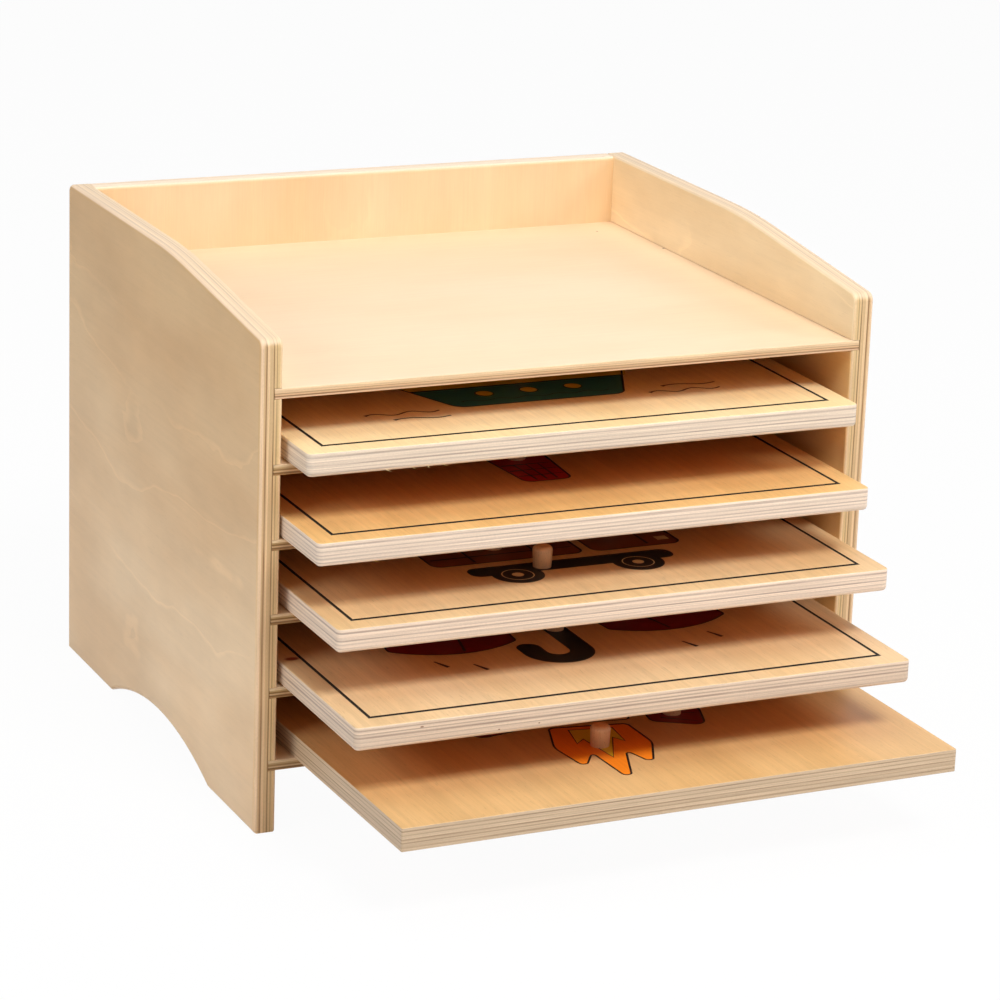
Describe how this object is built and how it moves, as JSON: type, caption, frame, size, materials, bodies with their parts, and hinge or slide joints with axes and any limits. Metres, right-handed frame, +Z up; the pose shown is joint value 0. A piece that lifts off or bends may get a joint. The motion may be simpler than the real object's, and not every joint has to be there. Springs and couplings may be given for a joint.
{
  "type": "puzzle storage cabinet",
  "caption": "Open-front plywood cabinet with a tray on top and bays of loose knob-puzzle boards that slide out on thin shelves, on arched feet.",
  "frame": {"origin": "on the floor, midway across the case and midway between its back and the front of the furthest drawn board", "axes": "+Z up, +X across the case to the right as seen from the front, the open front faces -Y"},
  "size_m": [0.352, 0.4468, 0.28],
  "materials": {
    "side_ply": "clear satin lacquer on birch plywood",
    "back_ply": "clear satin lacquer on birch plywood",
    "shelf_ply": "clear satin lacquer on birch plywood",
    "board_ply": "clear satin lacquer on birch plywood",
    "plain_board_ply": "clear satin lacquer on birch plywood",
    "knob_wood": "turned beech, clear lacquer",
    "teal_paint": "printed paint under satin lacquer",
    "yellow_paint": "printed paint under satin lacquer",
    "black_paint": "printed paint under satin lacquer",
    "red_paint": "printed paint under satin lacquer",
    "dark_red_paint": "printed paint under satin lacquer",
    "brown_paint": "printed paint under satin lacquer",
    "orange_paint": "printed paint under satin lacquer",
    "cream_paint": "printed paint under satin lacquer"
  },
  "bodies": {
    "case": {"left_side": "side_ply", "right_side": "side_ply", "back_panel": "back_ply", "tray_floor": "shelf_ply", "shelf_1": "shelf_ply", "shelf_2": "shelf_ply", "shelf_3": "shelf_ply", "shelf_4": "shelf_ply", "shelf_5": "shelf_ply"},
    "boat_board": {"boat_board": "board_ply"},
    "boat_hull": {"boat_hull": "teal_paint", "boat_hull_knob": "knob_wood"},
    "boat_mainsail": {"boat_mainsail": "yellow_paint", "boat_mainsail_knob": "knob_wood"},
    "boat_jib": {"boat_jib": "yellow_paint", "boat_jib_knob": "knob_wood"},
    "boat_pennant": {"boat_pennant": "black_paint", "boat_pennant_knob": "knob_wood"},
    "balloon_board": {"balloon_board": "board_ply"},
    "balloon_basket": {"balloon_basket": "red_paint", "balloon_basket_knob": "knob_wood"},
    "balloon_left_gore": {"balloon_left_gore": "red_paint", "balloon_left_gore_knob": "knob_wood"},
    "balloon_middle_gore": {"balloon_middle_gore": "yellow_paint", "balloon_middle_gore_knob": "knob_wood"},
    "balloon_right_gore": {"balloon_right_gore": "red_paint", "balloon_right_gore_knob": "knob_wood"},
    "truck_board": {"truck_board": "board_ply"},
    "truck_chassis": {"truck_chassis": "black_paint", "truck_chassis_knob": "knob_wood"},
    "truck_bed": {"truck_bed": "brown_paint", "truck_bed_knob": "knob_wood"},
    "truck_load": {"truck_load": "yellow_paint", "truck_load_knob": "knob_wood"},
    "truck_cab": {"truck_cab": "brown_paint", "truck_cab_knob": "knob_wood"},
    "umbrella_board": {"umbrella_board": "board_ply"},
    "umbrella_handle": {"umbrella_handle": "black_paint", "umbrella_handle_knob": "knob_wood"},
    "umbrella_left_gore": {"umbrella_left_gore": "dark_red_paint", "umbrella_left_gore_knob": "knob_wood"},
    "umbrella_middle_gore": {"umbrella_middle_gore": "cream_paint", "umbrella_middle_gore_knob": "knob_wood"},
    "umbrella_right_gore": {"umbrella_right_gore": "dark_red_paint", "umbrella_right_gore_knob": "knob_wood"},
    "rocket_board": {"rocket_board": "plain_board_ply"},
    "rocket_flame": {"rocket_flame": "orange_paint", "rocket_flame_knob": "knob_wood"},
    "rocket_left_fin": {"rocket_left_fin": "dark_red_paint", "rocket_left_fin_knob": "knob_wood"},
    "rocket_right_fin": {"rocket_right_fin": "dark_red_paint", "rocket_right_fin_knob": "knob_wood"},
    "rocket_body": {"rocket_body": "cream_paint", "rocket_body_knob": "knob_wood"},
    "rocket_nose": {"rocket_nose": "orange_paint", "rocket_nose_knob": "knob_wood"}
  },
  "joints": [
    {"name": "boat_board_slide", "type": "slide", "parent": "case", "child": "boat_board", "axis": [0, -1, 0], "range_m": [-0.0363, 0.2585]},
    {"name": "boat_hull_lift", "type": "slide", "parent": "boat_board", "child": "boat_hull", "axis": [0, 0, 1], "range_m": [0, 0.007]},
    {"name": "boat_mainsail_lift", "type": "slide", "parent": "boat_board", "child": "boat_mainsail", "axis": [0, 0, 1], "range_m": [0, 0.007]},
    {"name": "boat_jib_lift", "type": "slide", "parent": "boat_board", "child": "boat_jib", "axis": [0, 0, 1], "range_m": [0, 0.007]},
    {"name": "boat_pennant_lift", "type": "slide", "parent": "boat_board", "child": "boat_pennant", "axis": [0, 0, 1], "range_m": [0, 0.007]},
    {"name": "balloon_board_slide", "type": "slide", "parent": "case", "child": "balloon_board", "axis": [0, -1, 0], "range_m": [-0.0583, 0.2365]},
    {"name": "balloon_basket_lift", "type": "slide", "parent": "balloon_board", "child": "balloon_basket", "axis": [0, 0, 1], "range_m": [0, 0.007]},
    {"name": "balloon_left_gore_lift", "type": "slide", "parent": "balloon_board", "child": "balloon_left_gore", "axis": [0, 0, 1], "range_m": [0, 0.007]},
    {"name": "balloon_middle_gore_lift", "type": "slide", "parent": "balloon_board", "child": "balloon_middle_gore", "axis": [0, 0, 1], "range_m": [0, 0.007]},
    {"name": "balloon_right_gore_lift", "type": "slide", "parent": "balloon_board", "child": "balloon_right_gore", "axis": [0, 0, 1], "range_m": [0, 0.007]},
    {"name": "truck_board_slide", "type": "slide", "parent": "case", "child": "truck_board", "axis": [0, -1, 0], "range_m": [-0.0763, 0.2185]},
    {"name": "truck_chassis_lift", "type": "slide", "parent": "truck_board", "child": "truck_chassis", "axis": [0, 0, 1], "range_m": [0, 0.007]},
    {"name": "truck_bed_lift", "type": "slide", "parent": "truck_board", "child": "truck_bed", "axis": [0, 0, 1], "range_m": [0, 0.007]},
    {"name": "truck_load_lift", "type": "slide", "parent": "truck_board", "child": "truck_load", "axis": [0, 0, 1], "range_m": [0, 0.007]},
    {"name": "truck_cab_lift", "type": "slide", "parent": "truck_board", "child": "truck_cab", "axis": [0, 0, 1], "range_m": [0, 0.007]},
    {"name": "umbrella_board_slide", "type": "slide", "parent": "case", "child": "umbrella_board", "axis": [0, -1, 0], "range_m": [-0.1093, 0.1855]},
    {"name": "umbrella_handle_lift", "type": "slide", "parent": "umbrella_board", "child": "umbrella_handle", "axis": [0, 0, 1], "range_m": [0, 0.007]},
    {"name": "umbrella_left_gore_lift", "type": "slide", "parent": "umbrella_board", "child": "umbrella_left_gore", "axis": [0, 0, 1], "range_m": [0, 0.007]},
    {"name": "umbrella_middle_gore_lift", "type": "slide", "parent": "umbrella_board", "child": "umbrella_middle_gore", "axis": [0, 0, 1], "range_m": [0, 0.007]},
    {"name": "umbrella_right_gore_lift", "type": "slide", "parent": "umbrella_board", "child": "umbrella_right_gore", "axis": [0, 0, 1], "range_m": [0, 0.007]},
    {"name": "rocket_board_slide", "type": "slide", "parent": "case", "child": "rocket_board", "axis": [0.0175, -0.9998, 0], "range_m": [-0.14103, 0.148]},
    {"name": "rocket_flame_lift", "type": "slide", "parent": "rocket_board", "child": "rocket_flame", "axis": [0, 0, 1], "range_m": [0, 0.007]},
    {"name": "rocket_left_fin_lift", "type": "slide", "parent": "rocket_board", "child": "rocket_left_fin", "axis": [0, 0, 1], "range_m": [0, 0.007]},
    {"name": "rocket_right_fin_lift", "type": "slide", "parent": "rocket_board", "child": "rocket_right_fin", "axis": [0, 0, 1], "range_m": [0, 0.007]},
    {"name": "rocket_body_lift", "type": "slide", "parent": "rocket_board", "child": "rocket_body", "axis": [0, 0, 1], "range_m": [0, 0.007]},
    {"name": "rocket_nose_lift", "type": "slide", "parent": "rocket_board", "child": "rocket_nose", "axis": [0, 0, 1], "range_m": [0, 0.007]}
  ]
}
